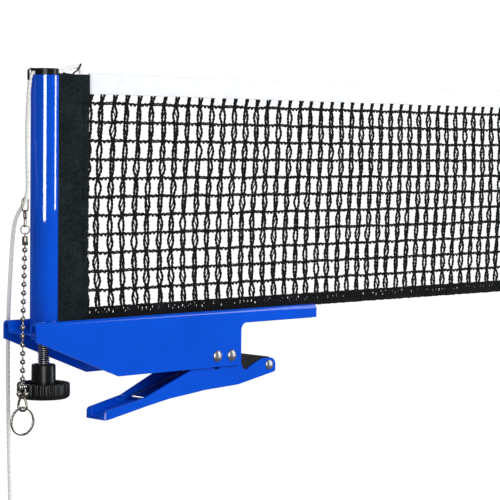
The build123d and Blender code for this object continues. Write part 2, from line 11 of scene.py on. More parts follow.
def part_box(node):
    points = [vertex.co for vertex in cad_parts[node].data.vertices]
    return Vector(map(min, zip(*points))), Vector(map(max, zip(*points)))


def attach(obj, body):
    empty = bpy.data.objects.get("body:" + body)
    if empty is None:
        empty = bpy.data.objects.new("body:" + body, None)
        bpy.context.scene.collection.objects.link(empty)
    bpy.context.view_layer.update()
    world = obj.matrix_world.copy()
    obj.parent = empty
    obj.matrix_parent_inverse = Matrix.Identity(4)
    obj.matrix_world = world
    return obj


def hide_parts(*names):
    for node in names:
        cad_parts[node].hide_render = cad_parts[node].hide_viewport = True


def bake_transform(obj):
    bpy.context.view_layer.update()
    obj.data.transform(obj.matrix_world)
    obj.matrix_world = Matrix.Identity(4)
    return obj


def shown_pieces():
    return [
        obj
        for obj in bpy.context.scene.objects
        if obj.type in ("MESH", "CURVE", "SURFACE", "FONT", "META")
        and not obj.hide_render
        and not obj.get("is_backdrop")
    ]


# Table tennis net clamp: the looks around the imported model, in metres and in the model's own frame.
# Most shapes are worked out in millimetres from the post's axis and scaled by MM.
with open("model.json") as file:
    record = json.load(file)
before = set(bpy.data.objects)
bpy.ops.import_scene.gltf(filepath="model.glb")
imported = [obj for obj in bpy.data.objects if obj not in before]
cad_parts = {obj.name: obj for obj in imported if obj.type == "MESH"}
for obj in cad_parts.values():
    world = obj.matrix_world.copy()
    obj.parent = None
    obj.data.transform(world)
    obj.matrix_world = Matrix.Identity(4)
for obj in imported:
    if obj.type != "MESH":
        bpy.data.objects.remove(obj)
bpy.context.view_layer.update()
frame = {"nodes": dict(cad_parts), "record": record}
MM = 0.001
rng = random.Random(11)
any_phase = (0, 6.28)        # a random start within one turn
thread_pitch = 1.25

tube_low, tube_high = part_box("post_tube")
post_x = (tube_low.x + tube_high.x) / 2
tube_r = (tube_high.x - tube_low.x) / 2
right, front, upward = np.array([1.0, 0, 0]), np.array([0, -1.0, 0]), np.array([0, 0, 1.0])


def middle_and_half(node):
    """The middle of a node's box at rest, and half the box's size."""
    low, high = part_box(node)
    return (low + high) / 2, (high - low) / 2


# ---- materials


class Finish:
    """A node-based material: a Principled shader with helpers for procedural detail."""

    def __init__(self, name):
        self.name, self.material = name, bpy.data.materials.new(name)
        self.material.use_nodes = True
        self.tree = self.material.node_tree
        self.shader = self.tree.nodes["Principled BSDF"]
        self.place = self.node("ShaderNodeTexCoord").outputs["Object"]

    def node(self, kind, **settings):
        made = self.tree.nodes.new(kind)
        for key, value in settings.items():
            setattr(made, key, value)
        return made

    def link(self, source, target):
        self.tree.links.new(source, target)

    def set(self, **values):
        for key, value in values.items():
            socket = self.shader.inputs[key.replace("_", " ")]
            socket.default_value = (*value, 1.0) if isinstance(value, tuple) else value
        return self

    def noise(self, size, detail=3.0, stretch=(1, 1, 1)):
        """Noise with features about size metres across."""
        mapping = self.node("ShaderNodeMapping")
        mapping.inputs["Scale"].default_value = [s / size for s in stretch]
        self.link(self.place, mapping.inputs["Vector"])
        made = self.node("ShaderNodeTexNoise")
        made.inputs["Scale"].default_value = 1.0
        made.inputs["Detail"].default_value = detail
        self.link(mapping.outputs["Vector"], made.inputs["Vector"])
        return made.outputs["Fac"]

    def wave(self, pitch, turn=(0, 0, 0), wobble=0.0):
        """Bands of the given pitch across the X axis, turned by Euler angles."""
        mapping = self.node("ShaderNodeMapping")
        mapping.inputs["Rotation"].default_value = turn
        self.link(self.place, mapping.inputs["Vector"])
        made = self.node("ShaderNodeTexWave")
        made.inputs["Scale"].default_value = math.pi / 10 / pitch
        made.inputs["Distortion"].default_value = wobble
        self.link(mapping.outputs["Vector"], made.inputs["Vector"])
        return made.outputs["Fac"]

    def maths(self, operation, a, b):
        made = self.node("ShaderNodeMath", operation=operation)
        for socket, value in zip(made.inputs, (a, b)):
            if isinstance(value, (int, float)):
                socket.default_value = value
            else:
                self.link(value, socket)
        return made.outputs["Value"]

    def added(self, a, share_a, b, share_b):
        """The sum of two values, each times its share."""
        return self.maths("ADD", self.maths("MULTIPLY", a, share_a), self.maths("MULTIPLY", b, share_b))

    def colours(self, factor, low, high, start=0.3, end=0.7):
        ramp = self.node("ShaderNodeValToRGB")
        ramp.color_ramp.elements[0].position = start
        ramp.color_ramp.elements[1].position = end
        ramp.color_ramp.elements[0].color = (*low, 1)
        ramp.color_ramp.elements[1].color = (*high, 1)
        self.link(factor, ramp.inputs["Fac"])
        self.link(ramp.outputs["Color"], self.shader.inputs["Base Color"])
        return self

    def roughness(self, factor, low, high):
        spread = self.node("ShaderNodeMapRange")
        spread.inputs["To Min"].default_value = low
        spread.inputs["To Max"].default_value = high
        self.link(factor, spread.inputs["Value"])
        self.link(spread.outputs["Result"], self.shader.inputs["Roughness"])
        return self

    def bump(self, height, depth, strength=1.0):
        made = self.node("ShaderNodeBump")
        made.inputs["Distance"].default_value = depth
        made.inputs["Strength"].default_value = strength
        self.link(height, made.inputs["Height"])
        self.link(made.outputs["Normal"], self.shader.inputs["Normal"])
        return self


def blue_paint():
    f = Finish("blue_paint")
    f.set(Coat_Weight=1.0, Coat_Roughness=0.02, Coat_IOR=1.5, Specular_IOR_Level=0.0)
    f.colours(f.noise(0.03, 4), (0.0, 0.070, 0.59), (0.0, 0.084, 0.68))
    f.roughness(f.noise(0.004), 0.28, 0.4)
    return f.bump(f.noise(0.0022, 2), 0.00002, 0.07)


def black_plastic(name, rough, grain, depth):
    f = Finish(name)
    f.set(IOR=1.45, Specular_IOR_Level=0.4)
    f.colours(f.noise(0.008, 5), (0.004, 0.005, 0.006), (0.009, 0.011, 0.012))
    f.roughness(f.noise(grain * 3), rough * 0.85, rough * 1.2)
    return f.bump(f.noise(grain, 4), depth)


def metal(name, tint, rough, grain=0.0006, stretch=(1, 1, 1), depth=0.000006):
    f = Finish(name)
    f.set(Metallic=1.0)
    dark = tuple(0.86 * c for c in tint)
    f.colours(f.noise(0.006, 4), dark, tint)
    f.roughness(f.noise(grain, 3, stretch), rough * 0.7, rough * 1.4)
    return f.bump(f.noise(grain, 3, stretch), depth)


def threaded_steel(pitch):
    """Bright steel with painted shade: the colour darkens from each thread crest into its groove."""
    f = metal("bright_screw", (0.66, 0.66, 0.67), 0.22)
    axes = f.node("ShaderNodeSeparateXYZ")
    f.link(f.place, axes.inputs["Vector"])
    angle = f.maths("ARCTAN2", axes.outputs["Y"], f.maths("SUBTRACT", axes.outputs["X"], post_x))
    turns = f.maths("SUBTRACT", f.maths("DIVIDE", axes.outputs["Z"], pitch),
                    f.maths("DIVIDE", angle, 2 * math.pi))
    from_crest = f.maths("ABSOLUTE", f.maths("SUBTRACT", f.maths("FRACT", turns, 0), 0.5), 0)
    # Painted shade in the thread grooves: dark in the grooves, bright on the crests
    return f.colours(from_crest, (0.92, 0.92, 0.91), (0.07, 0.07, 0.07), 0.2, 0.38)


def rubber():
    f = Finish("black_rubber")
    f.set(Specular_IOR_Level=0.25)
    f.colours(f.noise(0.01, 5), (0.006, 0.006, 0.007), (0.014, 0.014, 0.015))
    f.roughness(f.noise(0.002), 0.55, 0.75)
    return f.bump(f.noise(0.0007, 4), 0.00003)


def nylon():
    f = Finish("white_nylon")
    f.set(Subsurface_Weight=0.15, Subsurface_Scale=0.002)
    f.colours(f.noise(0.01), (0.72, 0.72, 0.70), (0.82, 0.82, 0.80))
    f.roughness(f.noise(0.002), 0.35, 0.5)
    return f.bump(f.noise(0.0008, 3), 0.00001)


def twill(name, dark, light, pitch):
    """Woven cloth in the XZ plane: diagonal ribs over fine warp and weft."""
    f = Finish(name)
    f.set(Specular_IOR_Level=0.08, Sheen_Weight=0.02, Sheen_Roughness=0.4)
    ribs = f.wave(pitch, (0, math.radians(48), 0), 0.6)
    warp = f.wave(pitch * 0.62, (0, 0, 0), 0.4)
    weft = f.wave(pitch * 0.62, (0, math.radians(90), 0), 0.4)
    cloth = f.maths("MULTIPLY", ribs, f.added(warp, 0.5, weft, 0.5))
    specks = f.added(f.noise(0.0011, 2), 0.55, f.noise(0.014, 4), 0.25)
    shade = f.maths("ADD", f.maths("MULTIPLY", f.maths("ADD", ribs, cloth), 0.16), specks)
    f.colours(shade, dark, light, 0.34, 0.80)
    f.roughness(f.noise(0.003), 0.75, 0.92)
    return f.bump(cloth, 0.00018)


def yarn(name, dark, light, grain=0.0007):
    f = Finish(name)
    f.set(Specular_IOR_Level=0.08, Sheen_Weight=0.02, Sheen_Roughness=0.5)
    fibres = f.noise(grain, 4, (1, 1, 0.45))
    f.colours(f.added(fibres, 0.7, f.noise(0.02, 3), 0.3), dark, light, 0.3, 0.75)
    f.roughness(f.noise(0.002), 0.6, 0.85)
    return f.bump(fibres, 0.00012)


def white_tape():
    f = Finish("white_tape")
    f.set(Specular_IOR_Level=0.1, Sheen_Weight=0.05, Sheen_Roughness=0.4)
    weave = f.added(f.wave(0.0006, wobble=0.3), 0.5,
                    f.wave(0.0006, (0, math.radians(90), 0), 0.3), 0.5)
    f.colours(f.added(weave, 0.3, f.noise(0.01), 0.7), (0.80, 0.825, 0.87), (0.88, 0.90, 0.945))
    f.roughness(f.noise(0.003), 0.6, 0.8)
    return f.bump(weave, 0.00006)


finishes = {finish.name: finish for finish in (
    blue_paint(), rubber(), nylon(), white_tape(), threaded_steel(thread_pitch * MM),
    black_plastic("gloss_black", 0.2, 0.0015, 0.000004),
    black_plastic("knob_black", 0.24, 0.0005, 0.000015),
    metal("zinc_steel", (0.62, 0.63, 0.65), 0.36),
    metal("spring_steel", (0.72, 0.72, 0.72), 0.3),
    metal("nickel_wire", (0.44, 0.405, 0.35), 0.16, 0.0004),
    metal("nickel_balls", (0.56, 0.53, 0.49), 0.2, 0.0005),
    metal("ring_steel", (0.64, 0.61, 0.56), 0.12, 0.0004),
    metal("rod_aluminium", (0.80, 0.81, 0.82), 0.3),
    metal("insert_brass", (0.80, 0.62, 0.30), 0.25),
    twill("black_weave", (0.0004, 0.0009, 0.0011), (0.024, 0.037, 0.041), 0.0014),
    yarn("white_cord", (0.80, 0.80, 0.775), (0.93, 0.93, 0.90), 0.0005),
    yarn("net_yarn", (0.002, 0.0025, 0.003), (0.020, 0.022, 0.025)),
)}
slot_of = {part["node"]: part["material_slot"] for part in frame["record"]["subparts"]}
for name, node in frame["nodes"].items():
    node.data.materials.clear()
    node.data.materials.append(finishes[slot_of[name]].material)


# ---- mesh helpers


def circle(steps):
    return np.linspace(0, 2 * math.pi, steps, endpoint=False)


def ring(r, z, turn):
    """Points round the Z axis at height z; r may vary round them."""
    return np.stack([r * np.cos(turn), r * np.sin(turn), np.full(len(turn), z)], 1)


def at(x, y, z):
    """Points given in millimetres from the post's axis, heights above the playing surface."""
    return np.stack(np.broadcast_arrays(post_x + x * MM, y * MM, z * MM), -1)


def step_up(value, start, end):
    """Rises smoothly from 0 at start to 1 at end."""
    t = np.clip((np.asarray(value, float) - start) / (end - start), 0, 1)
    return t * t * (3 - 2 * t)


def settled(name, mesh, slot, body=None, *nodes):
    """A mesh as a piece: its finish, the CAD nodes it replaces and the body it rides on."""
    mesh.materials.append(finishes[slot].material)
    obj = bpy.data.objects.new(name, mesh)
    bpy.context.scene.collection.objects.link(obj)
    if nodes:
        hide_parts(*nodes)
    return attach(obj, body) if body else obj


def unit(v):
    return v / np.linalg.norm(v, axis=-1, keepdims=True)


def carried_frame(line, closed=False):
    """Two cross directions carried along a line without turning about it."""
    ahead = np.roll(line, -1, 0) - np.roll(line, 1, 0)
    if not closed:
        ahead[0], ahead[-1] = line[1] - line[0], line[-1] - line[-2]
    ahead = unit(ahead)
    seed = np.array([0.0, 1.0, 0.0]) if abs(ahead[0][1]) < 0.9 else np.array([1.0, 0.0, 0.0])
    across = [unit(np.cross(ahead[0], seed))]
    for t in ahead[1:]:
        across.append(unit(across[-1] - t * (across[-1] @ t)))
    across = np.array(across)
    return across, np.cross(ahead, across)


def spokes(across, up, turn):
    """Directions round a line, for each of its points."""
    return across[:, None] * np.cos(turn)[:, None] + up[:, None] * np.sin(turn)[:, None]


def run_along(line):
    """How far along a line each of its points is."""
    return np.concatenate([[0], np.cumsum(np.linalg.norm(np.diff(line, axis=0), axis=1))])


class Strands:
    """Many strands gathered into one mesh; their own sizes are in millimetres."""

    def __init__(self):
        self.points, self.faces, self.count = [], [], 0

    def rows(self, rings, closed=False):
        """Skins an array of rings in order, with end caps unless the last ring joins the first."""
        number, sides = rings.shape[:2]
        ids = self.count + np.arange(number * sides).reshape(number, sides)
        lower, upper = (ids, np.roll(ids, -1, 0)) if closed else (ids[:-1], ids[1:])
        quads = np.stack([lower, np.roll(lower, -1, 1), np.roll(upper, -1, 1), upper], -1)
        self.faces.extend(quads.reshape(-1, 4).tolist())
        if not closed:
            self.faces += [ids[0][::-1].tolist(), ids[-1].tolist()]
        self.points.append(rings.reshape(-1, 3))
        self.count += number * sides
        return self

    def round(self, line, radius, sides=6, closed=False):
        """A round strand along a line."""
        line = np.asarray(line, float)
        around = spokes(*carried_frame(line, closed), circle(sides))
        return self.rows(line[:, None] + radius * MM * around, closed)

    def plied(self, line, ply_r, offset, pitch, phase, sides=5):
        """Two plies wound round each other along a line."""
        across, up = carried_frame(line)
        for k in (0, 1):
            angle = phase + 2 * math.pi * (run_along(line) / (pitch * MM) + k / 2)[:, None]
            self.round(line + offset * MM * (across * np.cos(angle) + up * np.sin(angle)), ply_r, sides)

    def turned(self, profile, steps, axes, centre):
        """A profile of (radius, height) points turned about the last of three axes."""
        rings = np.array([ring(r, h, circle(steps)) for r, h in profile])
        return self.rows(rings @ np.array(axes) + centre)

    def build(self, name, slot, body=None, *nodes):
        mesh = bpy.data.meshes.new(name)
        mesh.from_pydata(np.concatenate(self.points).tolist(), [], self.faces)
        mesh.validate()
        mesh.update()
        mesh.polygons.foreach_set("use_smooth", [True] * len(mesh.polygons))
        return settled(name, mesh, slot, body, *nodes)


flat_angle, sharp_angle, bevel_angle = (math.radians(a) for a in (0.6, 28, 32))
join_near, join_gap = 0.00002, 0.00006      # a face this near the join is in it; a gap to close


def from_cad(nodes, name, body, edge, segments=2, weld=0.000002, join_x=None):
    """CAD nodes as one piece: welded, cleaned of flat seams, and with rounded edges.

    Where two nodes meet at join_x, their touching faces are taken out and the shape is closed again.
    """
    shape = bmesh.new()
    for node in nodes:
        mesh = frame["nodes"][node].data.copy()
        for layer in ("custom_normal", "sharp_edge", "sharp_face"):
            attribute = mesh.attributes.get(layer)
            if attribute:
                mesh.attributes.remove(attribute)
        shape.from_mesh(mesh)
        bpy.data.meshes.remove(mesh)
    bmesh.ops.remove_doubles(shape, verts=shape.verts, dist=weld)
    if join_x is not None:
        inner = [f for f in shape.faces if all(abs(v.co.x - join_x) < join_near for v in f.verts)]
        bmesh.ops.delete(shape, geom=inner, context="FACES")
        rim = [v for v in shape.verts if any(e.is_boundary for e in v.link_edges)]
        bmesh.ops.remove_doubles(shape, verts=rim, dist=join_gap)
        bmesh.ops.holes_fill(shape, edges=[e for e in shape.edges if e.is_boundary], sides=0)
    bmesh.ops.dissolve_limit(shape, angle_limit=flat_angle, verts=shape.verts,
                             edges=shape.edges, delimit=set())
    for face in shape.faces:
        face.smooth = True
    for e in shape.edges:
        e.smooth = e.calc_face_angle(0) < sharp_angle
    mesh = bpy.data.meshes.new(name)
    shape.to_mesh(mesh)
    shape.free()
    obj = settled(name, mesh, slot_of[nodes[0]], body, *nodes)
    bevel = obj.modifiers.new("soft_edges", "BEVEL")
    bevel.width, bevel.segments = edge, segments
    bevel.limit_method, bevel.angle_limit = "ANGLE", bevel_angle
    bevel.harden_normals = True
    return obj


# ---- camera
view_angle = 0.774           # the camera looks this far round from +Y towards +X
pitch_down, roll = 0.053, -0.010
focal_length, sensor = 141.56, 36.0
camera_place = Vector((-0.8522, -0.8943, 0.1109))

look = Vector((math.sin(view_angle) * math.cos(pitch_down),
               math.cos(view_angle) * math.cos(pitch_down), -math.sin(pitch_down)))
level = Vector((math.cos(view_angle), -math.sin(view_angle), 0))
above = level.cross(look)
side = level * math.cos(roll) - above * math.sin(roll)
top = level * math.sin(roll) + above * math.cos(roll)
camera = bpy.data.objects.new("camera", bpy.data.cameras.new("camera"))
camera.data.lens, camera.data.sensor_width = focal_length, sensor
camera.data.clip_start, camera.data.clip_end = 0.05, 50
camera.matrix_world = Matrix.Translation(camera_place) @ Matrix(
    (side, top, -look)).transposed().to_4x4()
bpy.context.scene.collection.objects.link(camera)
bpy.context.scene.camera = camera

# ---- tension cord
# The same route as the CAD cord, from the net's top through the cap and down
cord_d = 2.4 * MM
cord_route = [
    (26.4, 0.0, 152.1), (25.8, 0.0, 156.2), (19.6, 0.2, 155.6), (11.0, 0.0, 152.0),
    (0.6, 0.0, 151.9), (-9.9, 0.0, 152.0), (-10.3, 1.2, 145.4), (-10.8, 1.9, 133.0),
    (-11.7, 1.4, 115.0), (-12.6, -0.3, 97.0), (-13.5, -2.2, 84.0), (-14.2, 0.6, 76.4),
    (-14.6, 6.2, 70.6), (-14.2, 10.2, 63.0), (-13.9, 12.2, 52.0), (-13.6, 13.9, 37.0),
    (-13.0, 16.2, 20.0), (-12.4, 17.7, 2.0), (-12.3, 17.9, -20.0), (-12.5, 17.0, -46.0),
    (-12.3, 16.3, -72.0), (-12.0, 15.4, -98.0), (-12.1, 15.3, -112.0),
]


def nurbs_line(points):
    """The points of the smooth curve that the route steers."""
    data = bpy.data.curves.new("cord_line", "CURVE")
    data.dimensions = "3D"
    data.resolution_u = 16
    spline = data.splines.new("NURBS")
    spline.points.add(len(points) - 1)
    for target, point in zip(spline.points, points):
        target.co = (*point, 1.0)
    spline.order_u = 3
    spline.use_endpoint_u = True
    obj = bpy.data.objects.new("cord_line", data)
    bpy.context.scene.collection.objects.link(obj)
    bpy.context.view_layer.update()
    made = bpy.data.meshes.new_from_object(obj)
    line = np.array([v.co for v in made.vertices])
    bpy.data.objects.remove(obj)
    return line


cord_path = nurbs_line([at(*point) for point in cord_route])
cord_run = run_along(cord_path)
cord_length, cord_step = cord_run[-1], 0.55 * MM
even_run = np.linspace(0, cord_length, int(cord_length / cord_step) + 1)
cord_points = np.stack([np.interp(even_run, cord_run, cord_path[:, i]) for i in range(3)], 1)
lay_pitch, lobes = 8.5 * MM, 3
turn = circle(30)
lay = turn - 2 * math.pi * np.arange(len(cord_points))[:, None] * cord_step / lay_pitch
cord_r = cord_d / 2 * (0.74 + 0.30 * np.abs(np.cos(lobes * lay / 2)) ** 0.7)
cord = Strands().rows(cord_points[:, None] + cord_r[..., None] * spokes(
    *carried_frame(cord_points), turn)).build("tension_cord_laid", "white_cord")

# Knot at the cord's lower end
knot_turn = np.linspace(0, 2 * math.pi, 90)
knot_r = 1.35 + 0.1 * np.cos(3 * knot_turn)
knot_line = np.array(middle_and_half("cord_knot")[0]) + MM * np.stack([
    knot_r * np.cos(2 * knot_turn), knot_r * np.sin(2 * knot_turn), 1.4 * np.cos(3 * knot_turn)], 1)
knot = Strands().round(knot_line, 1.15, 12).build(
    "cord_knot_tied", "white_cord", "bracket", "cord_knot")

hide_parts("tension_cord")
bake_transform(cord)

# ---- net
# Pillars of looped yarn on straight cross threads; all in millimetres from the post
sleeve_x = (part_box("net_sleeve")[1].x - post_x) / MM
hem_x = (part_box("net_end_hem")[0].x - post_x) / MM
tape_low, net_top = (c.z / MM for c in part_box("net_tape"))
band_low, band_top = (c.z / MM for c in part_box("net_bottom_band"))
cell_wide, cell_high, first_drop = 9.896, 11.053, 7.0
first_pillar, first_row = sleeve_x + 7.22, tape_low - first_drop
pillar_count, row_count = 40, 11
ply_r, ply_offset, strand_gap, strand_pitch = 0.56, 0.34, 0.78, 4.6
third_share, third_r, wrap_r, drawn_in = 0.85, 0.42, 0.46, 1.5

net = Strands()
heights = np.arange(tape_low - 0.5, band_top - 1.1, -0.55)
down = np.clip((tape_low - heights) / (tape_low - band_top), 0, 1)
cells = (first_row - heights) / cell_high
cell = np.clip(np.floor(cells).astype(int), -1, row_count - 1)
within = cells - np.floor(cells)
for n in range(-1, pillar_count - 1):
    # A pillar bows a little sideways, leans over near the top and opens between the cross threads;
    # the one beside the sleeve is drawn in towards the others
    drift = rng.uniform(1.4, 1.75) * np.sin(math.pi * (0.33 + 0.010 * n - down) / 0.68)
    lean = rng.uniform(1.7, 2.5) * np.clip((heights - first_row) / first_drop, 0, 1.2)
    opening = np.array([rng.choice((0.45, 0.6, 0.8, 0.95, 1.15, 1.35)) for _ in range(row_count + 1)])
    skew = np.array([rng.uniform(-0.55, 0.55) for _ in range(row_count + 1)])
    split = rng.choice((0.05, 0.1, 0.15, 0.7, 0.9))
    half = np.where(cells < 0,
                    strand_gap - 0.1 + split * np.clip(-cells * cell_high / first_drop, 0, 1),
                    strand_gap + opening[cell] * np.sin(math.pi * within) ** 2)
    middle = (first_pillar + n * cell_wide + drift + lean
              + np.where(cells < 0, 0, skew[cell] * np.sin(math.pi * within) ** 2)
              + rng.uniform(-0.25, 0.25) + (drawn_in if n < 0 else 0))
    for hand in (-1, 1):
        y = hand * 0.28 * np.cos(math.pi * cells) + 0.1 * np.sin(0.21 * heights + n)
        net.plied(at(middle + hand * half, y, heights), ply_r, ply_offset, strand_pitch,
                  rng.uniform(*any_phase))
    for m in range(row_count):
        # A third strand crosses most cells from side to side, and a loop binds each foot
        if rng.random() < third_share:
            inside = cell == m
            cross = np.cos(math.pi * within[inside]) * rng.choice((-1, 1))
            net.round(at(middle[inside] + cross * half[inside], 0.1, heights[inside]), third_r, 5)
        foot = int(np.argmin(np.abs(cells - m)))
        turn = circle(14)
        net.round(at(middle[foot] + 1.5 * np.cos(turn), 0.95 * np.sin(turn),
                     heights[foot] + 0.3 * np.cos(turn + n)), wrap_r, 5, closed=True)

across_net = np.arange(sleeve_x - 2.4, hem_x + 1.5, 0.42)
for m in range(row_count):
    phase = rng.uniform(*any_phase)
    z = (first_row - m * cell_high + 0.2 * np.sin(across_net / 5.1 + phase)
         + 0.34 * np.sin(across_net * 2 * math.pi / (3.4 + 0.3 * math.sin(phase)) + phase))
    y = 0.25 * np.sin(math.pi * across_net / cell_wide + phase)
    net.plied(at(across_net, y, z), 0.52, 0.56, 6.8, phase, 6)
net_yarns = net.build("net_mesh_knit", "net_yarn", "net", "net_mesh")

# Close-knit band along the foot: upright wales that part here and there near the top
band, wale_gap = Strands(), 1.65
wales = np.arange(sleeve_x - 1.6, hem_x + 1.0, wale_gap)
parting = [rng.choice((0, 0, 0, 0.35, 0.5, 0.6)) for _ in wales]
part_z = [rng.uniform(10.9, 12.6) for _ in wales]
for k, x in enumerate(wales):
    top_end, low_end = band_top + rng.uniform(-0.35, 0.0), band_low - 0.15 + rng.uniform(0.0, 0.3)
    z = np.linspace(top_end, low_end, 24)
    aside = (parting[k] * np.exp(-((z - part_z[k]) / 0.9) ** 2)
             - parting[k - 1] * np.exp(-((z - part_z[k - 1]) / 0.9) ** 2))
    wiggle = 0.1 * np.sin(z * rng.uniform(0.8, 1.3) + rng.uniform(*any_phase)) - aside
    band.plied(at(x + wiggle, 0.08 * (-1) ** k, z), 0.52, 0.36, 3.2, rng.uniform(*any_phase), 6)
band_x = np.arange(wales[0] - 0.5, wales[-1] + 0.6, 0.5)
for z_row, ply, offset, pitch in ((band_low + 1.3, 0.4, 0.3, 3.3), (band_low + 2.6, 0.3, 0.3, 3.3),
                                  (band_top - 0.35, 0.46, 0.42, 6.8)):
    y = 0.25 * np.cos(math.pi * band_x / wale_gap)
    band.plied(at(band_x, y, z_row + 0.12 * np.sin(band_x / 2.3)), ply, offset, pitch, z_row)
band_knit = band.build("net_bottom_band_knit", "net_yarn", "net", "net_bottom_band")

# ---- tape along the net's top
tape_edge = tape_low - 1.6       # the soft edge hangs a little below the CAD tape
seam_rise = 1.5                  # the stitched seam's height above that edge


def tape_section():
    """The folded strip's outline across the net: outside up and over, then back inside."""
    outer = [(-1.3, tape_edge), (-1.34, tape_edge + 0.5), (-1.18, tape_edge + seam_rise),
             (-1.28, tape_edge + 2.6)]
    outer += [(-1.1, z) for z in np.linspace(tape_edge + 4, net_top - 1.5, 5)]
    outer += [(-1.15 * math.cos(a), net_top - 1.15 + 1.15 * math.sin(a))
              for a in np.linspace(0.25, math.pi / 2, 7)]
    outer += [(-y, z) for y, z in reversed(outer[:-1])]
    inner = [(0.55 * y, z if z < net_top - 2 else net_top - 1.4 - 0.45 * (net_top - z))
             for y, z in outer]
    return outer + inner[::-1]


def tape_sway(x):
    """How far the tape wanders from the net's plane."""
    return 0.10 * math.sin(x / 17.0) + 0.05 * math.sin(x / 5.3)


section = np.array(tape_section())
tape_rings = []
for x in np.arange(sleeve_x - 0.6, hem_x + 0.6, 2.5):
    lift = 0.09 * math.sin(x / 7.7) + 0.05 * math.sin(x / 3.1)
    lift = np.where(section[:, 1] > tape_edge + 4, 0, lift)
    tape_rings.append(at(x, section[:, 0] + tape_sway(x), section[:, 1] + lift))
tape = Strands().rows(np.array(tape_rings)).build("net_tape_folded", "white_tape", "net", "net_tape")


def stitches(name, slot, starts, run, length, out, rise):
    """A row of stitches: each a short thread that rises out of the cloth and goes back in."""
    row = Strands()
    s = np.linspace(0, 1, 7)[:, None]
    for start in starts:
        row.round(start + (run * length * s + out * rise * (np.sin(math.pi * s) - 0.35)) * MM, 0.15, 5)
    return row.build(name, slot, "net")


sides_of_net = ((1, "front"), (-1, "back"))
tape_stitches = [
    stitches("tape_stitches_" + label, "white_tape",
             [at(x, -hand * 1.21 + tape_sway(x), tape_edge + seam_rise)
              for x in np.arange(sleeve_x + 0.6, hem_x - 2.6, 3.0)], right, 2.3, hand * front, 0.2)
    for hand, label in sides_of_net]

# ---- woven end sleeve
panel_x = tube_r / MM + 0.4
sleeve_low, sleeve_top = net_top - 145.6, net_top - 1.0
columns, rows = 64, 300
u, v = np.meshgrid(np.linspace(0, 1, columns), np.linspace(0, 1, rows))
edge_sway = 0.35 * np.sin(v * 21) + 0.22 * np.sin(v * 47 + 1) + 0.5 * np.sin(v * 7 + 2)
sleeve_px = panel_x + u * (sleeve_x - 0.7 - panel_x + 0.7 * edge_sway)
top_edge = (sleeve_top + 0.7 * (1 - step_up(sleeve_px, panel_x + 3, panel_x + 13))
            + 0.1 * np.sin(sleeve_px))
sleeve_pz = sleeve_low + v * (top_edge - sleeve_low)
hem = step_up(sleeve_px, sleeve_x - 5.4, sleeve_x - 4.9)
thick = 0.58 + 0.26 * np.maximum(hem, step_up(sleeve_pz, sleeve_top - 5.6, sleeve_top - 5.1))
thick = np.maximum(thick, 0.58 + 0.26 * (1 - step_up(sleeve_pz, sleeve_low + 5.0, sleeve_low + 5.5)))
for seam_z, seam_from in ((134.5, 0.2), (123.5, 0.5)):
    sewn = step_up(u, seam_from, seam_from + 0.1)
    thick -= 0.42 * np.exp(-((sleeve_pz - seam_z - 0.25 * np.sin(sleeve_px)) / 0.6) ** 2) * sewn
    thick += 0.25 * np.exp(-((sleeve_pz - seam_z - 1.6) / 0.9) ** 2) * sewn
seam_columns = (sleeve_x - 4.9, sleeve_x - 1.0)
for column in seam_columns:
    thick -= 0.26 * np.exp(-((sleeve_px - column) / 0.4) ** 2)
rim = np.minimum.reduce([sleeve_px - panel_x, (1 - u) * (sleeve_x - panel_x), sleeve_pz - sleeve_low,
                         top_edge - sleeve_pz])
thick = thick * (0.35 + 0.65 * np.sqrt(np.clip(rim / 0.7, 0, 1)))
ripple = step_up(u, 0.02, 0.5) * (0.16 * np.sin(sleeve_pz / 6.1 + 0.2 * sleeve_px)
                                  + 0.10 * np.sin(sleeve_pz / 2.7 + 1 + 0.3 * sleeve_px))
sleeve = Strands().rows(np.concatenate([
    at(sleeve_px, ripple - thick, sleeve_pz), at(sleeve_px, ripple + thick, sleeve_pz)[:, ::-1]],
    1)).build("net_sleeve_panel", "black_weave", "net", "net_sleeve")

# The pocket round the rod: one strip of cloth that enters by the tube's slot and goes round
rod_r = middle_and_half("net_rod")[1].x / MM
pocket_low, pocket_high, mouth_x = 26.5, 134.0, panel_x + 0.5


def pocket_arc(r, start):
    """Points round the rod, from start on one side of the slot to the same on the other."""
    return [(r * math.cos(a), r * math.sin(a)) for a in np.linspace(start, 2 * math.pi - start, 40)]


outline = np.array([
    (mouth_x, 0.6), *pocket_arc(rod_r + 0.95, math.asin(0.6 / (rod_r + 1))), (mouth_x, -0.6),
    (mouth_x, -0.1), *pocket_arc(rod_r + 0.08, math.asin(0.1 / (rod_r + 0.08)))[::-1], (mouth_x, 0.1)])
pocket = Strands().rows(np.array([
    at(outline[:, 0], outline[:, 1], z) for z in np.linspace(pocket_low, pocket_high, 30)
])).build("net_sleeve_pocket", "black_weave", "net")

sleeve_stitches = [
    stitches("sleeve_stitches_" + label, "black_weave",
             [at(x, hand * -0.66, z) for z in np.arange(sleeve_low + 1, sleeve_top - 3, 2.6)
              for x in seam_columns], upward, 1.9, hand * front, 0.16)
    for hand, label in sides_of_net]
loose_line = nurbs_line([at(19.8, -0.2, 150.6), at(20.8, -0.4, 152.2), at(22.6, -1.2, 153.4),
                         at(24.6, -1.6, 155.6), at(25.6, -1.5, 157.6)])
loose_thread = Strands().round(loose_line, 0.48, 8).build("sleeve_loose_thread", "net_yarn", "net")

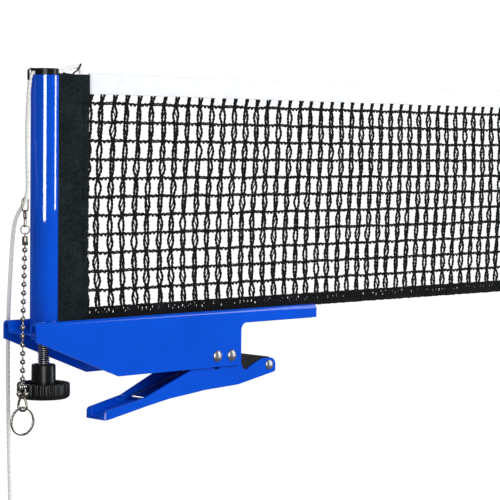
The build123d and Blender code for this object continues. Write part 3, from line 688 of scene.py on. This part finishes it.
# Fluffed end of the cord where it comes out of the sleeve
tuft_mesh = Strands()
s = np.linspace(0, 1, 8)[:, None]
for _ in range(26):
    spread = np.array([rng.uniform(-1, 1), rng.uniform(-0.6, 0.6), 0]) * MM
    length = rng.uniform(2.2, 4.6) * MM
    root = at(25.6, 0, 155.4) + 0.5 * spread
    droop = np.array([rng.uniform(-1.2, 2.0), rng.uniform(-0.8, 0.8), 0]) * MM
    tuft_mesh.round(root + s * (spread + upward * length * 0.62) + s ** 2 * droop, 0.07, 4)
tuft_mesh.build("cord_tuft", "white_cord", "net")

# End hem with its rod, where the net is cut short
hem_low, hem_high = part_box("net_end_hem")
hem_middle, hem_half = middle_and_half("net_end_hem")
turn = circle(48)
end_r = middle_and_half("net_end_rod")[1].x + 0.00006


def hem_ring(z, shrink=0.0):
    ripple = 1 + 0.03 * math.sin(z * 900) + 0.02 * math.sin(z * 310)
    x = np.sign(np.cos(turn)) * np.abs(np.cos(turn)) ** 0.45 * (hem_half.x - shrink)
    y = np.sign(np.sin(turn)) * np.abs(np.sin(turn)) ** 0.8 * (hem_half.y * 0.92 - shrink)
    y = y * ripple * (1 - 0.28 * np.exp(-((np.abs(x) - 0.0036) / 0.0005) ** 2))
    return np.stack([hem_middle.x + x, y, np.full(48, z)], 1)


def hem_bore(z):
    return ring(end_r, z, turn) + right * hem_middle.x


hem_heights = np.linspace(hem_low.z, hem_high.z, 60)
hem_rows = [hem_bore(hem_low.z), hem_ring(hem_low.z, 0.0005)]
hem_rows += [hem_ring(z) for z in hem_heights[1:-1]]
hem_rows += [hem_ring(hem_high.z, 0.0005), hem_bore(hem_high.z)]
hem_rows += [hem_bore(z) for z in hem_heights[-2:0:-8]]
end_hem = Strands().rows(np.array(hem_rows), closed=True).build(
    "net_end_hem_sewn", "black_weave", "net", "net_end_hem")

# ---- post
slot_low, slot_half, edge = 3.4 * MM, 1.6 * MM, 0.18 * MM
bore_r = tube_r - 1.5 * MM
low, high = tube_low.z, tube_high.z
foot = [(tube_r - edge, low), (tube_r, low + edge), (tube_r, slot_low), (bore_r, slot_low),
        (bore_r, low + edge), (bore_r + edge, low)]
wall = [(tube_r - edge, slot_low), (tube_r, slot_low), (tube_r, high - edge), (tube_r - edge, high),
        (bore_r + edge, high), (bore_r, high - edge), (bore_r, slot_low), (bore_r + edge, slot_low)]
cut = math.asin(slot_half / tube_r)
post_mesh = Strands()
# A full ring below the slot, then an open C up to the top
for section, angles, closed in ((wall, np.linspace(cut, 2 * math.pi - cut, 120), False),
                                (foot, circle(120), True)):
    post_mesh.rows(np.array([[(post_x + r * math.cos(a), r * math.sin(a), z) for r, z in section[::-1]]
                             for a in angles]), closed)
post = post_mesh.build("post_tube_painted", "blue_paint", "bracket", "post_tube")
post.modifiers.new("crease", "EDGE_SPLIT").split_angle = math.radians(30)
from_cad(["post_cap"], "post_cap_moulded", "bracket", 0.16 * MM)
from_cad(["tube_nut"], "tube_nut_turned", "bracket", 0.1 * MM)

# ---- clamp body and lever
from_cad(["clamp_bracket", "upper_jaw_arm"], "clamp_bracket_folded", "bracket", 0.28 * MM, 3,
         0.000004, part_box("clamp_bracket")[1].x)
from_cad(["upper_jaw_pad"], "upper_jaw_pad_moulded", "bracket", 0.35 * MM, 3)
from_cad(["clamp_lever"], "clamp_lever_pressed", "lever", 0.25 * MM, 3)
from_cad(["jaw_pad"], "jaw_pad_moulded", "lever", 0.5 * MM, 3)
from_cad(["pivot_sleeve"], "pivot_sleeve_turned", "lever", 0.2 * MM)
from_cad(["pivot_washers"], "pivot_washers_pressed", "bracket", 0.12 * MM)


def rivet(node, name, body, head_r, head_high):
    """A cross rivet with a domed head and a thin flat rim at each end."""
    middle, half = middle_and_half(node)
    grip, shaft, rim_high = half.y - head_high, 2.5 * MM, 0.22 * MM
    end = [(shaft, grip - 0.0001), (shaft + 0.05 * MM, grip), (head_r - 0.06 * MM, grip),
           (head_r, grip + 0.08 * MM)]
    end += [(head_r * math.cos(a), grip + rim_high + (head_high - rim_high) * math.sin(a) ** 1.15)
            for a in np.linspace(0, math.pi / 2 - 0.02, 12)[1:]]
    Strands().turned([(r, -h) for r, h in reversed(end)] + end, 48, (right, -upward, -front),
                     np.array(middle)).build(name, "zinc_steel", body, node)


rivet("pivot_rivet", "pivot_rivet_headed", "bracket", 3.6 * MM, 1.9 * MM)
rivet("stop_rivet", "stop_rivet_headed", "bracket", 3.6 * MM, 1.9 * MM)
rivet("jaw_rivet", "jaw_rivet_headed", "lever", 3.2 * MM, 1.5 * MM)

# ---- return spring
pivot, stop = (middle_and_half(node)[0] for node in ("pivot_rivet", "stop_rivet"))
coil_r, wire_r, stop_r = 5.25 * MM, 0.88, 2.5 * MM
leg_y, foot_y = 4.5 * MM, 9.1 * MM
bail = np.array([post_x + 74.5 * MM, 9.0 * MM, -0.0426])
reach = math.asin((coil_r + stop_r + wire_r * MM + 0.1 * MM) / (pivot.x - stop.x))
leg_start_angle = math.pi / 2 + reach
leave = np.array([bail[0] - pivot.x, bail[2] - pivot.z])
leave_angle = math.atan2(leave[1], leave[0]) + math.acos(coil_r / np.linalg.norm(leave))
turns = (leg_start_angle - leave_angle) % (2 * math.pi) + 4 * math.pi


def coil_point(angle, y):
    return np.array([pivot.x + coil_r * math.cos(angle), y, pivot.z + coil_r * math.sin(angle)])


def bend(corner, before, after, radius, steps=8):
    """Points round a corner between two runs."""
    into, out = unit(before - corner), unit(after - corner)
    half = math.acos(np.clip(into @ out, -1, 1)) / 2
    centre = corner + unit(into + out) * radius / math.sin(half)
    start, end = corner + into * radius / math.tan(half), corner + out * radius / math.tan(half)
    return [centre + radius * unit((1 - s) * (start - centre) + s * (end - centre))
            for s in np.linspace(0, 1, steps)]


spring, halves = Strands(), []
for hand in (-1, 1):
    coil = [coil_point(leg_start_angle - turns * s, hand * (leg_y + (foot_y - leg_y) * s))
            for s in np.linspace(0, 1, 110)]
    corner, opposite = bail * np.array([1, hand, 1]), bail * np.array([1, -hand, 1])
    halves.append(coil + bend(corner, coil[-1], opposite, 2.2 * MM))
spring.round(halves[0] + halves[1][::-1], wire_r, 14)
spring.build("torsion_spring_wound", "spring_steel", "lever", "torsion_spring")
legs = Strands()
for hand in (-1, 1):
    arc = [coil_point(leg_start_angle - a, hand * leg_y) for a in np.linspace(0.5, 0, 8)]
    tangent = np.array([-math.cos(reach), 0, -math.sin(reach)])
    straight = [arc[-1] + tangent * s * MM for s in (1.5, 4, 7, 10, 11.6)]
    legs.round(arc + straight, wire_r * 0.985, 14)
legs.build("torsion_spring_free_legs", "spring_steel", "bracket")

# ---- height screw and knob
screw_low, screw_tip = (corner.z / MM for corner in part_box("adjust_screw"))
thread_top, thread_r, thread_depth, tip_r = screw_tip - 7.1, 3.6, 0.78, 2.5
crest_flat = 0.98
turn = circle(48)
screw_rings = [ring(0.05, screw_low, turn)]
for z in np.arange(screw_low, thread_top + 0.01, 0.125):
    phase = (z / thread_pitch - turn / (2 * math.pi)) % 1
    crest = np.clip(1.12 - 2.6 * np.abs(phase - 0.5), 0, crest_flat)
    r = thread_r - thread_depth * (crest_flat - crest) / crest_flat
    screw_rings.append(ring(np.minimum(r, 2.9 + 1.2 * min(z - screw_low, thread_top - z)), z, turn))
screw_rings += [ring(r, z, turn) for r, z in (
    (tip_r, thread_top + 0.2), (tip_r, screw_tip - 0.5), (tip_r - 0.4, screw_tip - 0.08),
    (0.05, screw_tip))]
Strands().rows(np.array(screw_rings) * MM + right * post_x).build(
    "adjust_screw_threaded", "bright_screw", "height_screw", "adjust_screw")

wheel_low, hub_top = (corner.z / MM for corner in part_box("height_knob"))
knob_r = max(middle_and_half("height_knob")[1].x / MM, 15.4)
wheel_top, ribs = wheel_low + 9.1, 28
turn = circle(ribs * 12)
beside = np.abs((turn / (2 * math.pi) * ribs + 0.5) % 1 - 0.5) * 2 * math.pi * knob_r / ribs
groove = np.clip(1 - (beside / 1.15) ** 2, 0, 1) ** 0.8 * 0.75
# Each row is a radius, a height and how much of the groove is cut there
knob_profile = [(r, wheel_low + up, cut) for r, up, cut in (
    (0.05, 0.35, 0), (9.0, 0.35, 0), (9.4, 0.05, 0), (12.6, 0, 0), (13.5, 0.12, 0.1),
    (14.3, 0.55, 0.5), (14.95, 1.2, 0.9), (15.3, 1.9, 1), (knob_r, 2.6, 1), (knob_r, 4.5, 1))]
knob_profile += [(knob_r - inward, wheel_top - down, cut) for inward, down, cut in (
    (0, 1.6, 1), (0.03, 1.0, 1), (0.16, 0.55, 0.85), (0.42, 0.2, 0.5), (0.8, 0.03, 0.15), (1.2, 0, 0),
    (2.2, 0, 0), (2.5, 0.1, 0), (2.65, 0.35, 0), (2.7, 3.5, 0), (3.1, 3.95, 0))]
knob_profile += [(r, wheel_top - down, 0) for r, down in ((8.2, 4.0), (7.5, 3.8), (7.25, 3.2), (7.1, 0))]
knob_profile += [(r, hub_top - down, 0) for r, down in (
    (7.0, 0.8), (6.85, 0.3), (6.5, 0.04), (6.1, 0), (5.45, 0), (5.22, 0.2))]
knob_profile += [(5.22, wheel_low + 1.1, 0), (0.05, wheel_low + 1.0, 0)]
knob_rings = np.array([ring(r - cut * groove, z, turn) for r, z, cut in knob_profile])
Strands().rows(knob_rings * MM + right * post_x).build(
    "height_knob_moulded", "knob_black", "height_screw", "height_knob")
from_cad(["knob_insert"], "knob_insert_turned", "height_screw", 0.15 * MM)
from_cad(["net_rod"], "net_rod_drawn", "net", 0.15 * MM)
from_cad(["lift_socket"], "lift_socket_moulded", "net", 0.2 * MM)
from_cad(["net_end_rod"], "net_end_rod_moulded", "net", 0.2 * MM)

# ---- hook, rings and ball chain
def level_way(degrees):
    """A level direction, turned this far from +X towards -Y."""
    angle = math.radians(degrees)
    return np.array([math.cos(angle), -math.sin(angle), 0])


across_dir = level_way(44.3)
along_dir = np.cross(upward, across_dir)


def hang_point(z):
    """The chain's centre line: plumb below the hook, then leaning out past the clamp's end."""
    lean = min(max(56.0 - z, 0.0), 50.0) / 50
    return at(-14.1 - 5.4 * lean, -0.3 - 5.2 * lean, z)


def oval(centre, wide_dir, half_wide, half_high, steps=48):
    """An upright oval of two half circles and two straights."""
    straight = half_high - half_wide
    angles = circle(steps)
    lift = np.where(np.sin(angles) > 0, straight, -straight)[:, None]
    return (centre + half_wide * MM * np.cos(angles)[:, None] * wide_dir
            + (half_wide * MM * np.sin(angles)[:, None] + lift * MM) * upward)


def wire_piece(name, body, line, radius, node, closed=True):
    Strands().round(line, radius, 12, closed).build(name, "nickel_wire", body, node)


def edged(half_width, thickness, edge):
    """The outline of a flat strip with cut edges."""
    w, t, c = half_width * MM, thickness / 2 * MM, edge * MM
    half = [(-w + c, -t), (w - c, -t), (w, -t + c), (w, t - c)]
    return half + [(-a, -b) for a, b in half]


def hoop(centre, radius, angles, way):
    """Points on an upright circle, in the direction way."""
    return centre + radius * MM * (np.cos(angles)[:, None] * way + np.sin(angles)[:, None] * upward)


hook_centre, hook_high, hook_wire_r = hang_point(75.9), 4.0, 0.5
wire_piece("cord_hook_bent", "bracket", oval(hook_centre, right, 2.1, hook_high), hook_wire_r,
           "cord_hook")

eye_high, link_sheet, play, jump_r, jump_wire_r = 2.6, 0.4, 0.25, 2.5, 0.4
upper_eye = hook_centre - upward * (hook_high + eye_high - link_sheet - hook_wire_r - play) * MM
lower_eye = upper_eye - upward * (2 * eye_high - link_sheet) * MM
# The link is two closed strips of sheet, each edge-on to its own direction
swivel = Strands()
for eye, facing in ((upper_eye, right), (lower_eye, across_dir)):
    line = oval(eye, np.cross(upward, facing), 0.95, eye_high - link_sheet / 2, 40)
    outward = np.cross(unit(np.roll(line, -1, 0) - np.roll(line, 1, 0)), facing)
    strip = [line + a * facing + b * outward for a, b in edged(0.7, link_sheet, 0.08)]
    swivel.rows(np.stack(strip, 1), closed=True)
swivel.build("swivel_link_bent", "nickel_wire", "chain_upper_run", "swivel_link")

ring_top = lower_eye[2] / MM - eye_high + link_sheet + jump_wire_r + play
ring_centre = np.array([lower_eye[0], lower_eye[1], (ring_top - jump_r) * MM])
wire_piece("jump_ring_bent", "chain_upper_run",
           hoop(ring_centre, jump_r, np.linspace(math.radians(28), math.radians(385), 60), across_dir),
           jump_wire_r, "jump_ring", closed=False)

ring_foot = ring_centre - upward * jump_r * MM
loop_centre = ring_foot - upward * 0.2 * MM
first_ball, ball_r, ball_gap = 50.1, 1.6, 4.9
connector = Strands()
connector.round(hoop(loop_centre, 0.95, circle(28), along_dir), 0.25, 10, closed=True)
cup_top, cup_low = loop_centre[2] / MM - 0.9, first_ball + ball_r + 1.0
cup = [(0.05, cup_top), (0.7, cup_top - 0.02), (1.25, cup_top - 0.15), (1.62, cup_top - 0.42),
       (1.74, cup_top - 0.75), (1.74, cup_low + 0.15), (1.62, cup_low), (1.45, cup_low + 0.1),
       (1.4, cup_low + 0.7), (0.05, cup_low + 0.8)]
connector.turned(cup, 28, np.eye(3) * MM, ring_foot * (1, 1, 0))
connector.build("chain_connector_pressed", "nickel_wire", "chain_upper_run", "chain_connector")


def chain_piece(name, node, body, balls, ties):
    """Pressed hollow balls, each with a rolled rim at both holes, and the short wires between them."""
    chain, hole = Strands(), 0.62
    open_angle = math.asin(hole / ball_r)
    mouth = math.cos(open_angle) * ball_r
    rim = [(0.1, mouth - 0.42), (hole - 0.1, mouth - 0.35), (hole - 0.05, mouth - 0.08)]
    profile = (rim + [(ball_r * math.sin(a), ball_r * math.cos(a))
                      for a in np.linspace(open_angle, math.pi - open_angle, 15)]
               + [(r, -h) for r, h in rim[::-1]])
    for centre, way in balls:
        way = unit(way)
        one = unit(np.cross(way, along_dir))
        chain.turned(profile, 24, np.array([one, np.cross(way, one), way]) * MM, centre)
    for start, end in ties:
        chain.round([start, start + 0.5 * (end - start), end], 0.42, 10)
    chain.build(name, slot_of[node], body, node)


upper = [hang_point(first_ball - ball_gap * n) for n in range(10)]
lower = [upper[-1] - upward * ball_gap * MM * (n + 1) for n in range(6)]
upper_way = upper[0] - upper[1]
cup_foot = ring_foot * (1, 1, 0) + upward * (cup_low + 0.4) * MM
knuckle = upper[-1] - upward * (ball_r - 0.3) * MM
chain_piece("chain_upper_balls", "chain_upper", "chain_upper_run", [(c, upper_way) for c in upper],
            list(zip([cup_foot] + upper[:-1], upper)))
chain_piece("chain_lower_balls", "chain_lower", "chain_lower_run", [(c, upward) for c in lower],
            list(zip([knuckle] + lower[:-1], lower)))
# The chain's end is doubled through the clasp: two balls on each side, unevenly spread
fold, fold_ties = [], []
for hand in (-1, 1):
    pair = [lower[-1] + hand * (out * across_dir + deep * along_dir) * MM - upward * (4.6 + 4.0 * n) * MM
            for n, (out, deep) in enumerate(((0.95, 1.5), (1.95, 0.3)))]
    way = unit(lower[-1] - pair[0])
    fold += [(pair[0], unit(way + upward)), (pair[1], upward)]
    fold_ties += [(lower[-1], pair[0]), (pair[0], pair[1]), (pair[1], pair[1] - upward * 2.4 * MM)]
chain_piece("chain_fold_balls", "chain_fold", "chain_lower_run", fold, fold_ties)

clasp_dir, clasp_high = level_way(69), 3.9
clasp_centre = lower[-1] - upward * (10.3 + 4.1) * MM
clasp_line = oval(clasp_centre, clasp_dir, 2.9, clasp_high)
rise = np.clip((clasp_line[:, 2] - clasp_centre[2]) / MM / clasp_high, -1, 1)
aside = (clasp_line - clasp_centre) @ clasp_dir
clasp_line = clasp_line - (aside * 0.30 * step_up(rise, -0.5, 1))[:, None] * clasp_dir
wire_piece("chain_clasp_bent", "chain_lower_run", clasp_line, 0.7, "chain_clasp")

# Split key ring: one flat wire wound twice
key_centre = np.array(middle_and_half("key_ring")[0])
key_dir = level_way(1)
key_axis = np.cross(key_dir, upward)
angles = np.linspace(math.radians(-58), math.radians(-58 + 718), 220)
shift = 0.30 * MM * (2 * step_up((angles - angles[0]) / (2 * math.pi), 0.86, 1.10) - 1)
key_line = hoop(key_centre, 7.75, angles, key_dir)
radial = unit(key_line - key_centre)
key_strip = [key_line + a * radial + (b + shift[:, None]) * key_axis for a, b in edged(0.6, 0.57, 0.14)]
Strands().rows(np.stack(key_strip, 1)).build("key_ring_wound", "ring_steel", "ring", "key_ring")

# ---- floor, light and world
scene = bpy.context.scene
scene.view_settings.view_transform = "Standard"
floor_z, paper_glow = -0.20, 1.05


def empty_tree(owner):
    """The owner's node tree with nothing in it but the kinds of ray."""
    owner.use_nodes = True
    owner.node_tree.nodes.clear()
    return owner.node_tree, owner.node_tree.nodes.new("ShaderNodeLightPath")


def plain(tree, kind, grey, strength=None):
    node = tree.nodes.new(kind)
    node.inputs["Color"].default_value = (grey, grey, grey, 1)
    if strength is not None:
        node.inputs["Strength"].default_value = strength
    return node.outputs[0]


def chosen(tree, rays, kind, shader, otherwise):
    """One shader for this kind of ray and another for the rest."""
    mix = tree.nodes.new("ShaderNodeMixShader")
    tree.links.new(rays.outputs[kind], mix.inputs["Fac"])
    tree.links.new(otherwise, mix.inputs[1])
    tree.links.new(shader, mix.inputs[2])
    return mix.outputs["Shader"]


floor = bpy.data.objects.new("floor", bpy.data.meshes.new("floor"))
floor.data.from_pydata([(x, y, floor_z) for x, y in ((-4, -4), (4, -4), (4, 4), (-4, 4))], [],
                       [(0, 1, 2, 3)])
scene.collection.objects.link(floor)
paper = bpy.data.materials.new("paper")
tree, rays = empty_tree(paper)
tree.links.new(chosen(tree, rays, "Is Camera Ray", plain(tree, "ShaderNodeEmission", 1, paper_glow),
                      plain(tree, "ShaderNodeBsdfDiffuse", 0.8)),
               tree.nodes.new("ShaderNodeOutputMaterial").inputs["Surface"])
floor.data.materials.append(paper)
floor.visible_glossy = False
floor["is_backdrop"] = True

world = bpy.data.worlds.new("studio")
scene.world = world
tree, rays = empty_tree(world)
seen, fill, mirrored = (plain(tree, "ShaderNodeBackground", 1, s) for s in (paper_glow, 0.50, 0.12))
tree.links.new(chosen(tree, rays, "Is Camera Ray", seen,
                      chosen(tree, rays, "Is Glossy Ray", mirrored, fill)),
               tree.nodes.new("ShaderNodeOutputWorld").inputs["Surface"])


def softbox(name, place, target, size, radiance, glossy):
    """An area light of a given brightness, seen only by gloss or lighting only matt surfaces."""
    light = bpy.data.lights.new(name, "AREA")
    light.shape = "RECTANGLE"
    light.size, light.size_y = size
    light.energy = radiance * math.pi * size[0] * size[1]
    obj = bpy.data.objects.new(name, light)
    obj.location = place
    obj.rotation_euler = (Vector(target) - Vector(place)).to_track_quat("-Z", "Y").to_euler()
    obj.visible_camera = False
    obj.visible_diffuse, obj.visible_glossy = not glossy, glossy
    scene.collection.objects.link(obj)
    return obj


def strip_light(name, way, half_angle, low, high, radiance, distance=1.2):
    """An upright glossy-only panel facing the post."""
    way = Vector((*way, 0)).normalized()
    middle = Vector((post_x, 0, (low + high) / 2)) + way * distance
    width = 2 * distance * math.tan(math.radians(half_angle))
    return softbox(name, middle, (post_x, 0, middle.z), (width, high - low), radiance, True)


def only_for(lights, pieces, name):
    """These lights reach only these pieces."""
    group = bpy.data.collections.new(name)
    for obj in pieces:
        group.objects.link(obj)
    for light in lights:
        light.light_linking.receiver_collection = group


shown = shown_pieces()
painted = [o for o in shown if o.data.materials[0] == finishes["blue_paint"].material]
others = [o for o in shown if o not in painted]
near, beside_near = (-0.588, -0.809), (0.88, -0.475)
only_for([strip_light("post_strip_near", near, 11.5, 0.02, 1.0, 25),
          strip_light("post_strip_right", beside_near, 9.0, 0.033, 1.0, 16)], [post], "post_piece")
only_for([strip_light("sheet_strip_near", near, 11.5, -0.25, 1.0, 5),
          strip_light("sheet_strip_right", beside_near, 9.0, 0.045, 1.0, 3.5),
          softbox("shoulder_panel", (0.9, -0.1, 0.6), (0.1, 0, 0), (0.35, 0.4), 2.4, True)],
         [o for o in painted if o != post], "sheet_pieces")
only_for([strip_light("strip_near", near, 13.5, -0.25, 1.0, 4.5),
          strip_light("strip_right", (0.80, -0.60), 9.5, -0.2, 1.0, 3.5),
          softbox("back_panel", (0.0, 1.0, 0.9), (-0.1, 0, 0), (1.0, 0.6), 3.5, True)],
         others, "other_pieces")
softbox("key", (0.45, -1.25, 0.75), (-0.05, 0, 0.05), (0.8, 0.8), 7.4, False)
softbox("front_fill", (-1.1, -0.9, 0.3), (-0.1, 0, 0.05), (0.9, 0.9), 0.5, False)
softbox("back_fill", (0.2, 1.4, 0.7), (-0.05, 0, 0.05), (0.9, 0.9), 2.6, False)
